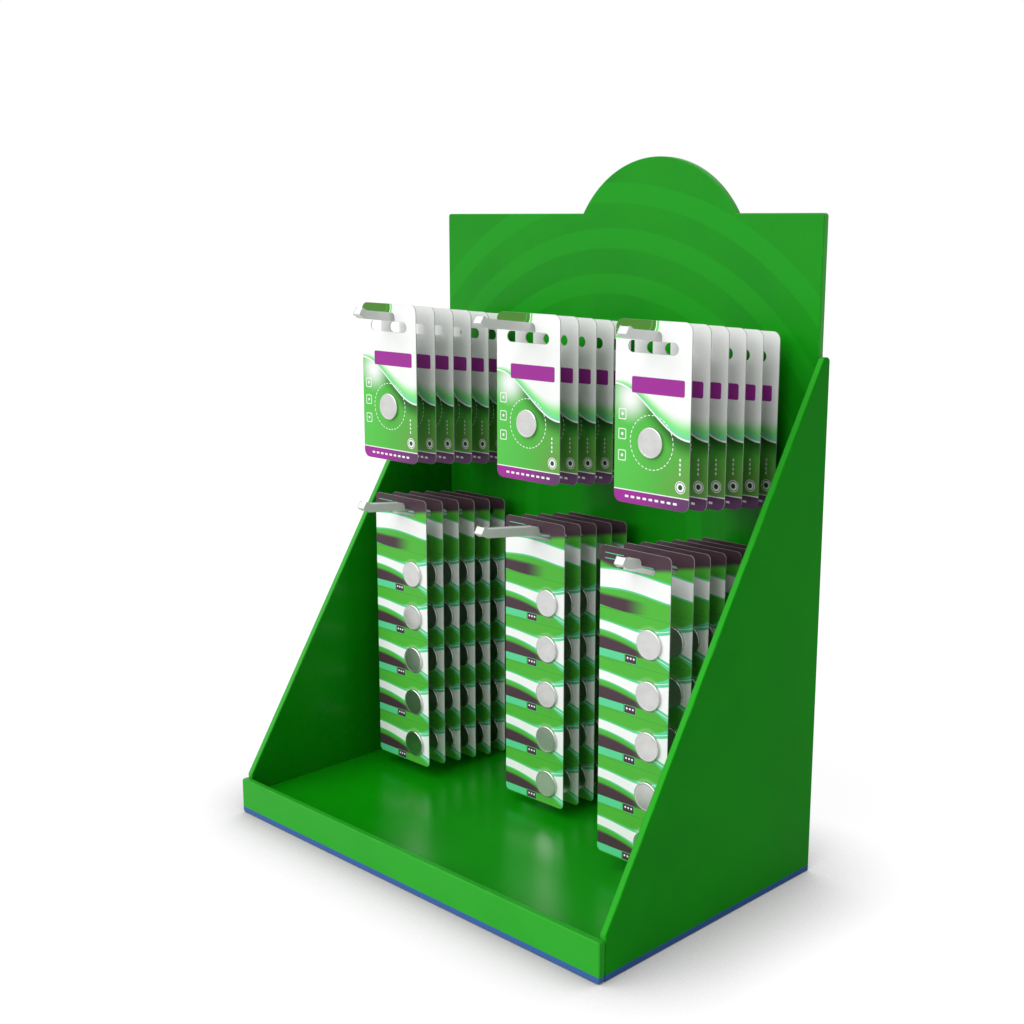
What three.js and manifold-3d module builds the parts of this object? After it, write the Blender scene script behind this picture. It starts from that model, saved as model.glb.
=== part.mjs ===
import * as THREE from 'three';
import { mergeVertices } from 'three/addons/utils/BufferGeometryUtils.js';
import Module from 'manifold-3d';

const wasm = await Module();
wasm.setup();

// A counter display box of rigid board, stocked with carded coin cells.
// Millimetres, +Z up, the front lip towards -Y, the origin under the middle of the box.

// Driving dimensions of the board box
const boxWidth = 370;
const boxDepth = 222.7;
const boardThickness = 5.4;
const boardEdgeRound = 1.2;
const boardCornerRound = 2.2;
const glueGap = 0.3;
const lipHeight = 27.4;
const sideFrontHeight = 30;
const sideBackHeight = 362.8;
const sideTopFlat = 6.4;
const sideTopRound = 3;
const backHeight = 455.7;
const archHalfWidth = 70.2;
const archRise = 39.5;
const archOffset = 39;
const archSteps = 28;
const deckTop = 16.4;

// Driving dimensions of the hooks
const hookWidth = 7.6;
const hookHeight = 5.3;
const hookRiseDegrees = 6.5;
const hookTipDegrees = 25.5;
const hookTipLength = 6.6;
const hookFreeEnd = 10.5;
const hookEdgeBevel = 0.4;
const hookPlateWidth = 24;
const hookPlateHeight = 30;
const hookPlateThickness = 2;
const hookPlateRound = 4;
const hookSlotPlay = 0.6;

// Driving dimensions of the hanging stock
const hangGap = 0.3;
const coinDiameter = 20;
const coinStand = 2;
const coinSink = 0.1;
const sideGap = 20.1;
const rearGap = 15.3;
const deckClearance = 1;
const rowGap = 28.4;
const looseStripGap = 6.3;

// The single-cell card of the top row
const singleCard = {
  width: 62,
  height: 119.1,
  thickness: 0.7,
  cornerRound: 5.6,
  headMargin: 6.7,
  bumpPlay: 3.3,
  bumpHeight: 6.4,
  openingPlay: 8.9,
  slotWidth: 41,
  coinAcross: 0.5,
  lowCoinUp: 41.5,
  coinCount: 1,
  coinSides: 16,
  cornerSteps: 3,
  pitch: 18.6,
  tint: 0xf1f3f1,
};

// The five-cell strip of the low row
const fiveCellStrip = {
  width: 59.2,
  height: 214.1,
  thickness: 0.7,
  cornerRound: 3.6,
  headMargin: 4.8,
  bumpPlay: 1.3,
  bumpHeight: 4.1,
  openingPlay: 3.9,
  slotWidth: 33,
  coinAcross: 0.73,
  lowCoinUp: 16.5,
  highCoinDown: 59.6,
  coinCount: 5,
  coinSides: 12,
  cornerSteps: 2,
  pitch: 16.8,
  tint: 0x57b83f,
};

// How many cards hang in each column, and the extra room before the front one
const columns = [
  { name: 'left', place: -1, singles: 6, strips: 6, frontStripGap: 0 },
  { name: 'middle', place: 0, singles: 5, strips: 5, frontStripGap: 0 },
  { name: 'right', place: 1, singles: 6, strips: 7, frontStripGap: looseStripGap },
];

// Places worked out from the driving dimensions
const hookSlope = Math.tan(THREE.MathUtils.degToRad(hookRiseDegrees));
const totalDepth = boxDepth + glueGap + hookPlateThickness;
const lipFront = -totalDepth / 2;
const boxBack = lipFront + boxDepth;
const panelFront = boxBack - boardThickness;
const sideFront = lipFront + boardThickness + glueGap;
const innerHalfWidth = boxWidth / 2 - boardThickness;
const fittedWidth = 2 * (innerHalfWidth - glueGap);
const trayDepth = panelFront - glueGap - sideFront;
const columnSpacing = innerHalfWidth - sideGap - singleCard.width / 2;

// Root heights of the hooks: the top of the bar where it leaves the back panel.
// The rear strip clears the deck, and the top row clears the low row.
const rearStripTop = deckTop + deckClearance + fiveCellStrip.height;
const lowRootTop = rearStripTop - fiveCellStrip.headMargin - hangGap - hookSlope * rearGap;
const singleHook = singleCard.height - singleCard.headMargin;
const highRootTop = lowRootTop + fiveCellStrip.headMargin + rowGap + singleHook;
const rows = [
  { name: 'top', piece: 'card', card: singleCard, rootTop: highRootTop, count: 'singles' },
  { name: 'low', piece: 'strip', card: fiveCellStrip, rootTop: lowRootTop, count: 'strips' },
];

// Finishes
function finish(color, roughness, metalness = 0) {
  return new THREE.MeshStandardMaterial({ color, roughness, metalness });
}
const greenBoard = () => finish(0x1f9a1f, 0.35);
const blueBoard = () => finish(0x1d4fa0, 0.45);
const whitePlastic = () => finish(0xe9ebea, 0.4);

// An outline of straight runs whose corners are rounded by arcs
function roundedOutline(corners) {
  const points = [];
  corners.forEach((corner, index) => {
    const radius = corner.round ?? 0;
    const steps = corner.steps ?? 3;
    const here = new THREE.Vector2(corner.x, corner.y);
    if (radius === 0) {
      points.push(here);
      return;
    }
    const before = corners[(index + corners.length - 1) % corners.length];
    const after = corners[(index + 1) % corners.length];
    const inward = new THREE.Vector2(before.x, before.y).sub(here).normalize();
    const outward = new THREE.Vector2(after.x, after.y).sub(here).normalize();
    const half = Math.acos(THREE.MathUtils.clamp(inward.dot(outward), -1, 1)) / 2;
    const reach = radius / Math.tan(half);
    const start = here.clone().addScaledVector(inward, reach);
    const end = here.clone().addScaledVector(outward, reach);
    const bisector = inward.clone().add(outward).normalize();
    const centre = here.clone().addScaledVector(bisector, radius / Math.sin(half));
    const from = start.clone().sub(centre).angle();
    let sweep = end.clone().sub(centre).angle() - from;
    sweep -= 2 * Math.PI * Math.round(sweep / (2 * Math.PI));
    for (let step = 0; step <= steps; step += 1) {
      const angle = from + (sweep * step) / steps;
      const spoke = new THREE.Vector2(Math.cos(angle), Math.sin(angle));
      points.push(centre.clone().addScaledVector(spoke, radius));
    }
  });
  const same = (a, b) => a.distanceTo(b) < 1e-4;
  return points.filter((point, index) => !same(point, points[(index + 1) % points.length]));
}

// A rectangle's corners, anticlockwise from the low left one
function rectangle(left, low, right, high, round = 0, steps = 3) {
  const at = (x, y) => ({ x, y, round, steps });
  return [at(left, low), at(right, low), at(right, high), at(left, high)];
}

// A sheet of board cut to an outline, with softly rounded edges
function boardFrom(outline, round = boardEdgeRound) {
  return new THREE.ExtrudeGeometry(new THREE.Shape(outline), {
    depth: boardThickness - 2 * round,
    bevelThickness: round,
    bevelSize: round,
    bevelOffset: -round,
    bevelSegments: 2,
  }).translate(0, 0, round);
}

// A card or plate cut square from an outline, with holes
function plateFrom(outline, thickness, holes = []) {
  const shape = new THREE.Shape(outline);
  shape.holes = holes.map((hole) => new THREE.Path(hole));
  return new THREE.ExtrudeGeometry(shape, { depth: thickness, bevelEnabled: false });
}

// Drawings stand up facing the front (drawn x, z) or facing the side (drawn y, z)
const axisX = new THREE.Vector3(1, 0, 0);
const axisY = new THREE.Vector3(0, 1, 0);
const axisZ = new THREE.Vector3(0, 0, 1);
const faceFront = new THREE.Matrix4().makeBasis(axisX, axisZ, axisY.clone().negate());
const faceSide = new THREE.Matrix4().makeBasis(axisY, axisZ, axisX);

// Closed meshes to solids and back, for cutting and joining
function toSolid(geometry) {
  const bare = geometry.clone();
  bare.deleteAttribute('normal');
  bare.deleteAttribute('uv');
  const welded = mergeVertices(bare, 1e-4);
  return new wasm.Manifold(new wasm.Mesh({
    numProp: 3,
    vertProperties: new Float32Array(welded.attributes.position.array),
    triVerts: new Uint32Array(welded.index.array),
  }));
}

function toGeometry(solid) {
  const mesh = solid.getMesh();
  const geometry = new THREE.BufferGeometry();
  geometry.setAttribute('position', new THREE.BufferAttribute(mesh.vertProperties, 3));
  geometry.setIndex(new THREE.BufferAttribute(mesh.triVerts, 1));
  geometry.computeVertexNormals();
  return geometry;
}

const group = new THREE.Group();

function addPiece(name, geometry, material) {
  const mesh = new THREE.Mesh(geometry, material);
  mesh.name = name;
  group.add(mesh);
  return mesh;
}

// Front lip: a low board glued across the front edges of the side panels
function frontLip() {
  const half = boxWidth / 2;
  const outline = roundedOutline(rectangle(-half, 0, half, lipHeight, boardCornerRound));
  const board = boardFrom(outline).applyMatrix4(faceFront);
  return board.translate(0, lipFront + boardThickness, 0);
}

// Side panel: a square back edge and a straight slope down to the lip
function sidePanel(outerX) {
  const outline = roundedOutline([
    { x: sideFront, y: 0 },
    { x: boxBack, y: 0 },
    { x: boxBack, y: sideBackHeight, round: sideTopRound },
    { x: boxBack - sideTopFlat, y: sideBackHeight, round: sideTopRound },
    { x: sideFront, y: sideFrontHeight, round: boardCornerRound },
  ]);
  return boardFrom(outline).applyMatrix4(faceSide).translate(outerX, 0, 0);
}

// Round arch on the header, as points from its right foot over to its left foot
function archPoints() {
  const radius = (archHalfWidth ** 2 + archRise ** 2) / (2 * archRise);
  const centreHeight = backHeight + archRise - radius;
  const footAngle = Math.asin((backHeight - centreHeight) / radius);
  const points = [];
  for (let step = 0; step <= archSteps; step += 1) {
    const angle = footAngle + ((Math.PI - 2 * footAngle) * step) / archSteps;
    const x = archOffset + radius * Math.cos(angle);
    points.push({ x, y: centreHeight + radius * Math.sin(angle) });
  }
  return points;
}

// A slot through the back panel around each hook's sloping bar
function hookSlot(columnX, rootTop) {
  const drop = hookSlope * boardThickness;
  const barHeight = hookHeight / Math.cos(THREE.MathUtils.degToRad(hookRiseDegrees));
  const height = barHeight + drop + 2 * hookSlotPlay;
  const slot = new THREE.BoxGeometry(hookWidth + 2 * hookSlotPlay, 3 * boardThickness, height);
  return slot.translate(columnX, panelFront + boardThickness / 2, rootTop - (barHeight + drop) / 2);
}

// Back panel: stands between the sides, rises above them, and carries the hooks
function backPanel() {
  const half = fittedWidth / 2;
  const outline = roundedOutline([
    { x: -half, y: 0 },
    { x: half, y: 0 },
    { x: half, y: backHeight, round: boardCornerRound },
    ...archPoints(),
    { x: -half, y: backHeight, round: boardCornerRound },
  ]);
  const board = boardFrom(outline).applyMatrix4(faceFront).translate(0, boxBack, 0);
  let solid = toSolid(board);
  for (const row of rows) {
    for (const column of columns) {
      solid = solid.subtract(toSolid(hookSlot(column.place * columnSpacing, row.rootTop)));
    }
  }
  return toGeometry(solid);
}

// Deck and base: two boards that lie inside the four walls
function trayBoard(topHeight) {
  const half = fittedWidth / 2;
  const outline = rectangle(-half, 0, half, trayDepth).map(({ x, y }) => new THREE.Vector2(x, y));
  return boardFrom(outline, glueGap).translate(0, sideFront, topHeight - boardThickness);
}

// Hook: a flat bar that rises to the front, a bent-up tip and a plate behind the panel
function hook(rootTop, reach) {
  const rise = THREE.MathUtils.degToRad(hookRiseDegrees);
  const bend = rise + THREE.MathUtils.degToRad(hookTipDegrees);
  const plateFace = boxBack + glueGap;
  const along = new THREE.Vector2(-Math.cos(rise), Math.sin(rise));
  const up = new THREE.Vector2(Math.sin(rise), Math.cos(rise));
  const tipAlong = new THREE.Vector2(-Math.cos(bend), Math.sin(bend));
  const tipUp = new THREE.Vector2(Math.sin(bend), Math.cos(bend));
  const startTop = new THREE.Vector2(panelFront, rootTop);
  const bendTop = startTop.clone().addScaledVector(along, reach / Math.cos(rise));
  const miter = hookHeight * Math.tan((bend - rise) / 2);
  const bendUnder = bendTop.clone().addScaledVector(up, -hookHeight).addScaledVector(along, miter);
  const endTop = bendTop.clone().addScaledVector(tipAlong, hookTipLength - miter / 2);
  const endUnder = endTop.clone().addScaledVector(tipUp, -hookHeight);
  const rootDrop = plateFace + hookPlateThickness / 2;
  const rear = startTop.clone().addScaledVector(along, (panelFront - rootDrop) / Math.cos(rise));
  const rearUnder = rear.clone().addScaledVector(up, -hookHeight);
  const profile = [rearUnder, rear, bendTop, endTop, endUnder, bendUnder];
  const bar = new THREE.ExtrudeGeometry(new THREE.Shape(profile), {
    depth: hookWidth - 2 * hookEdgeBevel,
    bevelThickness: hookEdgeBevel,
    bevelSize: hookEdgeBevel,
    bevelOffset: -hookEdgeBevel,
    bevelSegments: 1,
  });
  bar.translate(0, 0, hookEdgeBevel - hookWidth / 2).applyMatrix4(faceSide);
  const middle = rootTop - hookHeight / 2;
  const halfWide = hookPlateWidth / 2;
  const halfTall = hookPlateHeight / 2;
  const corners = rectangle(-halfWide, middle - halfTall, halfWide, middle + halfTall, hookPlateRound);
  const plate = plateFrom(roundedOutline(corners), hookPlateThickness).applyMatrix4(faceFront);
  plate.translate(0, plateFace + hookPlateThickness, 0);
  return toGeometry(toSolid(bar).add(toSolid(plate)));
}

// The hang hole punched in a card: a flat slot with a raised middle that sits on the hook
function hangHole(card) {
  const roof = card.height - card.headMargin;
  const shoulder = roof - card.bumpHeight;
  const floor = roof - hookHeight - card.openingPlay;
  const end = (shoulder - floor) / 2;
  const bump = hookWidth / 2 + card.bumpPlay;
  const wide = card.slotWidth / 2;
  return roundedOutline([
    { x: -wide, y: floor, round: end, steps: 2 },
    { x: wide, y: floor, round: end, steps: 2 },
    { x: wide, y: shoulder, round: end, steps: 2 },
    { x: bump, y: shoulder },
    { x: bump, y: roof, round: bump / 2, steps: 2 },
    { x: -bump, y: roof, round: bump / 2, steps: 2 },
    { x: -bump, y: shoulder },
    { x: -wide, y: shoulder, round: end, steps: 2 },
  ]);
}

// Heights of a card's coin cells over its low edge: one alone, or several spread evenly
function coinHeights(card) {
  if (card.coinCount === 1) {
    return [card.lowCoinUp];
  }
  const pitch = (card.height - card.highCoinDown - card.lowCoinUp) / (card.coinCount - 1);
  return Array.from({ length: card.coinCount }, (_, index) => card.lowCoinUp + index * pitch);
}

// A card loaded with its coin cells, drawn with its low edge at zero height
function loadedCard(card) {
  const wide = card.width / 2;
  const corners = rectangle(-wide, 0, wide, card.height, card.cornerRound, card.cornerSteps);
  const outline = roundedOutline(corners);
  const sheet = plateFrom(outline, card.thickness, [hangHole(card)]).applyMatrix4(faceFront);
  let solid = toSolid(sheet);
  const radius = coinDiameter / 2;
  const coinX = (card.coinAcross - 0.5) * card.width;
  for (const height of coinHeights(card)) {
    const coin = new THREE.CylinderGeometry(radius, radius, coinStand + coinSink, card.coinSides);
    coin.translate(coinX, coinSink - card.thickness - (coinStand + coinSink) / 2, height);
    solid = solid.add(toSolid(coin));
  }
  return toGeometry(solid);
}

// The depth from the back panel to each card's rear face, rear card first
function cardDepths(card, count, frontGap) {
  const depths = [];
  for (let index = 0; index < count; index += 1) {
    const extra = index === count - 1 ? frontGap : 0;
    depths.push(rearGap + index * card.pitch + extra);
  }
  return depths;
}

function stackDepths(row, column) {
  const frontGap = row.piece === 'strip' ? column.frontStripGap : 0;
  return cardDepths(row.card, column[row.count], frontGap);
}

// Every hook is the same moulding, long enough for the deepest stack
const allDepths = rows.flatMap((row) => columns.flatMap((column) => stackDepths(row, column)));
const deepestStack = Math.max(...allDepths);
const hookReach = deepestStack + hookFreeEnd;

addPiece('front_lip', frontLip(), greenBoard());
addPiece('left_side_panel', sidePanel(-boxWidth / 2), greenBoard());
addPiece('right_side_panel', sidePanel(boxWidth / 2 - boardThickness), greenBoard());
addPiece('back_panel', backPanel(), greenBoard());
addPiece('deck_panel', trayBoard(deckTop), greenBoard());
addPiece('base_panel', trayBoard(boardThickness), blueBoard());

for (const row of rows) {
  const hookGeometry = hook(row.rootTop, hookReach);
  const cardGeometry = loadedCard(row.card);
  for (const column of columns) {
    const x = column.place * columnSpacing;
    addPiece(`hook_${row.name}_${column.name}`, hookGeometry, whitePlastic()).position.setX(x);
    const depths = stackDepths(row, column);
    depths.forEach((depth, index) => {
      const y = panelFront - depth;
      const barTop = row.rootTop + hookSlope * (depth + row.card.thickness);
      const z = barTop + hangGap + row.card.headMargin - row.card.height;
      const number = depths.length - index;
      const piece = addPiece(
        `${row.piece}_${row.name}_${column.name}_${number}`,
        cardGeometry,
        finish(row.card.tint, 0.4),
      );
      piece.position.set(x, y, z);
    });
  }
}

export default group;
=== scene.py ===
# %% [markdown]
# # Counter display box
# A rigid-board counter display with sloping sides and an arched header. It holds
# blister cards and strips of coin cells on six rising hooks. This lesson dresses the
# solid model: each cell builds one kind of piece or one finish.

# %% Load the solid model
import math

import bpy
from mathutils import Matrix, Quaternion, Vector, geometry


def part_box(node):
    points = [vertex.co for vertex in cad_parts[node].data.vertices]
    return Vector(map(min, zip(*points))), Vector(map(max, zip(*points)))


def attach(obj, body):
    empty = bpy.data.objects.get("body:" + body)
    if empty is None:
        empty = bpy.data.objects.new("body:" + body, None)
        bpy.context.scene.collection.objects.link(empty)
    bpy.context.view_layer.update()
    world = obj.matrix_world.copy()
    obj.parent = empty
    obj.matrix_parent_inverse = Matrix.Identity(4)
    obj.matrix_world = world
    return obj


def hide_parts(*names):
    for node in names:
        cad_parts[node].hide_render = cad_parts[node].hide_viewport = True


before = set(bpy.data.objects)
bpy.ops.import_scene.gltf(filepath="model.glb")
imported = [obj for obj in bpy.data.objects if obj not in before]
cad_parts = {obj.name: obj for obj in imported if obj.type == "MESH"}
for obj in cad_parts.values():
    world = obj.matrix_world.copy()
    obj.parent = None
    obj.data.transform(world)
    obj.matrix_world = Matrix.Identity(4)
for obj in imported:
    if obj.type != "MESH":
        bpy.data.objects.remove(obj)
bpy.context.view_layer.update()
scene = bpy.context.scene
MM = 0.001

# %% [markdown]
# ## Camera
# The box stands three quarters on, seen from the front right and from a little above.
# The place, direction and lens come from the perspective of the box's own corners.

# %% Camera
CAMERA_PLACE = Vector((0.71194, -0.71298, 0.45337))
CAMERA_DIRECTION = Vector((-0.69305, 0.69269, -0.19966))
CAMERA_ROLL = math.radians(-0.034)
camera_data = bpy.data.cameras.new("camera")
camera_data.lens = 50.948
camera_data.sensor_width = 36.0
camera_data.clip_start = 0.01
camera = bpy.data.objects.new("camera", camera_data)
camera.location = CAMERA_PLACE
camera.rotation_mode = "QUATERNION"
aim = CAMERA_DIRECTION.to_track_quat("-Z", "Y")
camera.rotation_quaternion = aim @ Quaternion((0, 0, 1), CAMERA_ROLL)
scene.collection.objects.link(camera)
scene.camera = camera
print("camera distance:", round(CAMERA_PLACE.length, 3), "m")

# %% [markdown]
# ## Wiring helpers
# A finish is a net of small nodes. These helpers add one node, set its inputs by value
# or by link, and return its output, so that each finish below reads like a formula.


# %% Wiring helpers
def add(tree, kind, inputs=(), **settings):
    node = tree.nodes.new(kind)
    for name, value in settings.items():
        setattr(node, name, value)
    for key, value in dict(inputs).items():
        if isinstance(value, bpy.types.NodeSocket):
            tree.links.new(value, node.inputs[key])
        else:
            node.inputs[key].default_value = value
    return node


def calc(tree, operation, *values):
    return add(tree, "ShaderNodeMath", enumerate(values), operation=operation).outputs[0]


def move(tree, operation, *values):
    node = add(tree, "ShaderNodeVectorMath", enumerate(values), operation=operation)
    gives_number = operation in ("LENGTH", "DOT_PRODUCT")
    return node.outputs["Value" if gives_number else "Vector"]


def mix(tree, factor, under, over):
    inputs = {0: factor, 6: under, 7: over}
    return add(tree, "ShaderNodeMix", inputs, data_type="RGBA").outputs[2]


def rise(tree, value, low, high):
    inputs = {"Value": value, "From Min": low, "From Max": high}
    return add(tree, "ShaderNodeMapRange", inputs, interpolation_type="SMOOTHSTEP").outputs[0]


def flip(tree, value):
    return calc(tree, "SUBTRACT", 1.0, value)


def times(tree, first, *others):
    result = first
    for value in others:
        result = calc(tree, "MULTIPLY", result, value)
    return result


def axes(tree, vector):
    return add(tree, "ShaderNodeSeparateXYZ", {0: vector}).outputs


def joined(tree, x, y, z):
    return add(tree, "ShaderNodeCombineXYZ", {0: x, 1: y, 2: z}).outputs[0]


def noise(tree, point, scale, detail=2.0):
    inputs = {"Vector": point, "Scale": scale, "Detail": detail}
    return add(tree, "ShaderNodeTexNoise", inputs).outputs[0]


def ink(red, green, blue):
    """A screen colour of 0 to 255 as the linear colour that shaders take."""
    def linear(level):
        share = level / 255
        return share / 12.92 if share <= 0.04045 else ((share + 0.055) / 1.055) ** 2.4
    return linear(red), linear(green), linear(blue), 1.0


print("white board reads", [round(v, 3) for v in ink(248, 248, 248)])

# %% [markdown]
# ## Light
# The box stands in a white studio. One broad soft lamp shines from the front left over
# an even light from all around, so the front is brightest and the right side is calm.
# The even light is weak on matt surfaces, but the camera and glossy things see it white.

# %% Light
AMBIENT = 0.36
PURE_WHITE = (1, 1, 1, 1)
KEY_STRENGTH = 2.55
KEY_ANGLE = math.radians(70)
KEY_DIRECTION = Vector((0.22, 0.74, -0.63))


def seen_directly(tree):
    """1 for what the camera sees, also in a mirror or a gloss, and 0 for other light."""
    rays = add(tree, "ShaderNodeLightPath").outputs
    return calc(tree, "MAXIMUM", rays["Is Camera Ray"], rays["Is Glossy Ray"])


world = bpy.data.worlds.new("studio")
world.use_nodes = True
scene.world = world
net = world.node_tree
net.nodes.clear()
even = add(net, "ShaderNodeBackground", {"Color": PURE_WHITE, "Strength": AMBIENT})
seen = add(net, "ShaderNodeBackground", {"Color": PURE_WHITE, "Strength": 1.0})
sky = add(net, "ShaderNodeMixShader", {
    0: seen_directly(net), 1: even.outputs[0], 2: seen.outputs[0]})
add(net, "ShaderNodeOutputWorld", {"Surface": sky.outputs[0]})

lamp = bpy.data.lights.new("key", "SUN")
lamp.energy = KEY_STRENGTH
lamp.angle = KEY_ANGLE
key = bpy.data.objects.new("key", lamp)
key.rotation_euler = KEY_DIRECTION.to_track_quat("-Z", "Y").to_euler()
scene.collection.objects.link(key)
scene.view_settings.view_transform = "Standard"
print("lamp angle", round(math.degrees(KEY_ANGLE)), "degrees, even light", AMBIENT)

# %% [markdown]
# ## Floor
# The floor is a plain white sweep. It lights the box like white paper, yet the camera sees it
# nearly white, with a soft shadow that is darkest where the box touches it. The lamp casts
# part of that shadow, and the darkest part near the box is painted shade in the floor's glow.

# %% Floor
FLOOR_SIZE = 30.0
FLOOR_DROP = 0.0002
FLOOR_LIT = (0.86, 0.86, 0.86, 1)
FLOOR_SEEN = (0.16, 0.16, 0.16, 1)
FLOOR_GLOW = 0.93
CONTACT_REACH = 0.085
CONTACT_POWER = 1.5

floor_finish = bpy.data.materials.new("white_sweep")
floor_finish.use_nodes = True
net = floor_finish.node_tree
net.nodes.clear()
shown = seen_directly(net)
paper = add(net, "ShaderNodeBsdfDiffuse", {"Color": mix(net, shown, FLOOR_LIT, FLOOR_SEEN)})
# Painted contact shadow: ambient occlusion dims the floor's glow near the box.
contact = add(net, "ShaderNodeAmbientOcclusion", {"Distance": CONTACT_REACH}, samples=4)
open_share = calc(net, "POWER", contact.outputs["AO"], CONTACT_POWER)
glow = times(net, shown, FLOOR_GLOW, open_share)
white = add(net, "ShaderNodeEmission", {"Color": PURE_WHITE, "Strength": glow})
both = add(net, "ShaderNodeAddShader", {0: paper.outputs[0], 1: white.outputs[0]})
add(net, "ShaderNodeOutputMaterial", {"Surface": both.outputs[0]})

half = FLOOR_SIZE / 2
floor_mesh = bpy.data.meshes.new("floor")
corners = [(-half, -half, 0), (half, -half, 0), (half, half, 0), (-half, half, 0)]
floor_mesh.from_pydata(corners, [], [(0, 1, 2, 3)])
floor_mesh.materials.append(floor_finish)
floor = bpy.data.objects.new("floor", floor_mesh)
floor.location.z = -FLOOR_DROP
scene.collection.objects.link(floor)
print("floor", FLOOR_SIZE, "m wide")

# %% [markdown]
# ## Shared masks
# Print is made of bands, discs and rounded blocks with crisp or soft edges. Each is a
# small node group that turns a place on the sheet into a mask from 0 to 1.

# %% Shared masks
KINDS = {"value": "NodeSocketFloat", "vector": "NodeSocketVector"}


def new_group(name, takes, gives):
    tree = bpy.data.node_groups.new(name, "ShaderNodeTree")
    for label, kind in takes.items():
        tree.interface.new_socket(label, in_out="INPUT", socket_type=KINDS[kind])
    for label, kind in gives.items():
        tree.interface.new_socket(label, in_out="OUTPUT", socket_type=KINDS[kind])
    source, target = tree.nodes.new("NodeGroupInput"), tree.nodes.new("NodeGroupOutput")
    return tree, source.outputs, target.inputs


def mask(tree, group, inputs):
    return add(tree, "ShaderNodeGroup", inputs, node_tree=group).outputs["Mask"]


def soft_edge(tree, value, place, soft):
    low = calc(tree, "SUBTRACT", place, soft)
    high = calc(tree, "ADD", place, soft)
    return rise(tree, value, low, high)


numbers = {"Value": "value", "Low": "value", "High": "value", "Soft": "value"}
band_group, given, result = new_group("band_mask", numbers, {"Mask": "value"})
over_low = soft_edge(band_group, given["Value"], given["Low"], given["Soft"])
over_high = soft_edge(band_group, given["Value"], given["High"], given["Soft"])
inside = calc(band_group, "SUBTRACT", over_low, over_high)
band_group.links.new(inside, result["Mask"])

numbers = {"Point": "vector", "Centre": "vector", "Radius": "value", "Soft": "value"}
disc_group, given, result = new_group("disc_mask", numbers, {"Mask": "value"})
away = move(disc_group, "SUBTRACT", given["Point"], given["Centre"])
outside = soft_edge(disc_group, move(disc_group, "LENGTH", away), given["Radius"], given["Soft"])
disc_group.links.new(flip(disc_group, outside), result["Mask"])

numbers = {"Point": "vector", "Centre": "vector", "Half": "vector",
           "Corner": "value", "Soft": "value"}
block_group, given, result = new_group("block_mask", numbers, {"Mask": "value"})
away = move(block_group, "SUBTRACT", given["Point"], given["Centre"])
aside = move(block_group, "ABSOLUTE", away)
corner = joined(block_group, given["Corner"], 0.0, given["Corner"])
past = move(block_group, "ADD", move(block_group, "SUBTRACT", aside, given["Half"]), corner)
past = move(block_group, "MAXIMUM", past, (0, 0, 0))
gap = calc(block_group, "SUBTRACT", move(block_group, "LENGTH", past), given["Corner"])
outside = soft_edge(block_group, gap, 0.0, given["Soft"])
block_group.links.new(flip(block_group, outside), result["Mask"])
print("masks:", band_group.name, disc_group.name, block_group.name)

# %% [markdown]
# ## Paper grain and rubbed edges
# Printed board is never quite even. Short fibres make a fine grain, the film makes a
# broad slow change of tone, and the ink is rubbed a little where a sheet turns its edge.

# %% Paper grain and rubbed edges
FINE_SHARE = 0.35
WEAR_SCALE = 0.09
grain_takes = {"Point": "vector", "Fine": "value", "Broad": "value"}
grain_gives = {"Height": "value", "Tone": "value"}
grain_group, given, result = new_group("paper_grain", grain_takes, grain_gives)
long_fibres = move(grain_group, "MULTIPLY", given["Point"], (1.0, 1.0, 0.35))
fibres = noise(grain_group, long_fibres, given["Fine"], 4.0)
clouds = noise(grain_group, given["Point"], given["Broad"], 3.0)
fine_part = calc(grain_group, "MULTIPLY", fibres, FINE_SHARE)
broad_part = calc(grain_group, "MULTIPLY", clouds, 1 - FINE_SHARE)
tone = calc(grain_group, "ADD", fine_part, broad_part)
grain_group.links.new(fibres, result["Height"])
grain_group.links.new(tone, result["Tone"])

edge_takes = {"Normal": "vector", "Axis": "vector", "Point": "vector"}
edge_group, given, result = new_group("rubbed_edge", edge_takes, {"Mask": "value"})
along = move(edge_group, "DOT_PRODUCT", given["Normal"], given["Axis"])
square = calc(edge_group, "POWER", along, 2.0)
turned = times(edge_group, flip(edge_group, square), square)
patches = rise(edge_group, noise(edge_group, given["Point"], WEAR_SCALE, 4.0), 0.45, 0.72)
rubbed = times(edge_group, turned, 4.0, patches)
edge_group.links.new(rubbed, result["Mask"])
print("groups:", grain_group.name, edge_group.name)

# %% [markdown]
# ## Outlines
# Every board, card and plate is cut to a flat outline. It is drawn in millimetres as a
# list of corners, each with its own radius, and the arcs are worked out from them.

# %% Outlines
def rounded(corners, steps=6):
    """An outline of (x, y, radius) corners, anticlockwise, with arcs put in."""
    points = []
    for index, (x, y, radius) in enumerate(corners):
        here = Vector((x, y))
        if radius == 0:
            points.append(here)
            continue
        before = (Vector(corners[index - 1][:2]) - here).normalized()
        after = (Vector(corners[(index + 1) % len(corners)][:2]) - here).normalized()
        half_angle = before.angle(after) / 2
        centre = here + (before + after).normalized() * radius / math.sin(half_angle)
        start = here + before * radius / math.tan(half_angle) - centre
        end = here + after * radius / math.tan(half_angle) - centre
        sweep = start.angle_signed(end) * -1
        for step in range(steps + 1):
            turn = Matrix.Rotation(sweep * step / steps, 2)
            points.append(centre + turn @ start)
    return points


def box_outline(left, low, right, high, radius, steps=6):
    places = ((left, low), (right, low), (right, high), (left, high))
    return rounded([(x, y, radius) for x, y in places], steps)


print("square with round corners:", len(box_outline(0, 0, 10, 10, 1)), "points")

# %% [markdown]
# ## Rounded sheets
# An outline gets thickness here. It may have holes, and its edges are turned by small
# arcs. True normals are kept with the mesh, so that the faces stay flat and the arcs
# look round.

# %% Rounded sheets
SAME_PLACE = 1e-6


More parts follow.
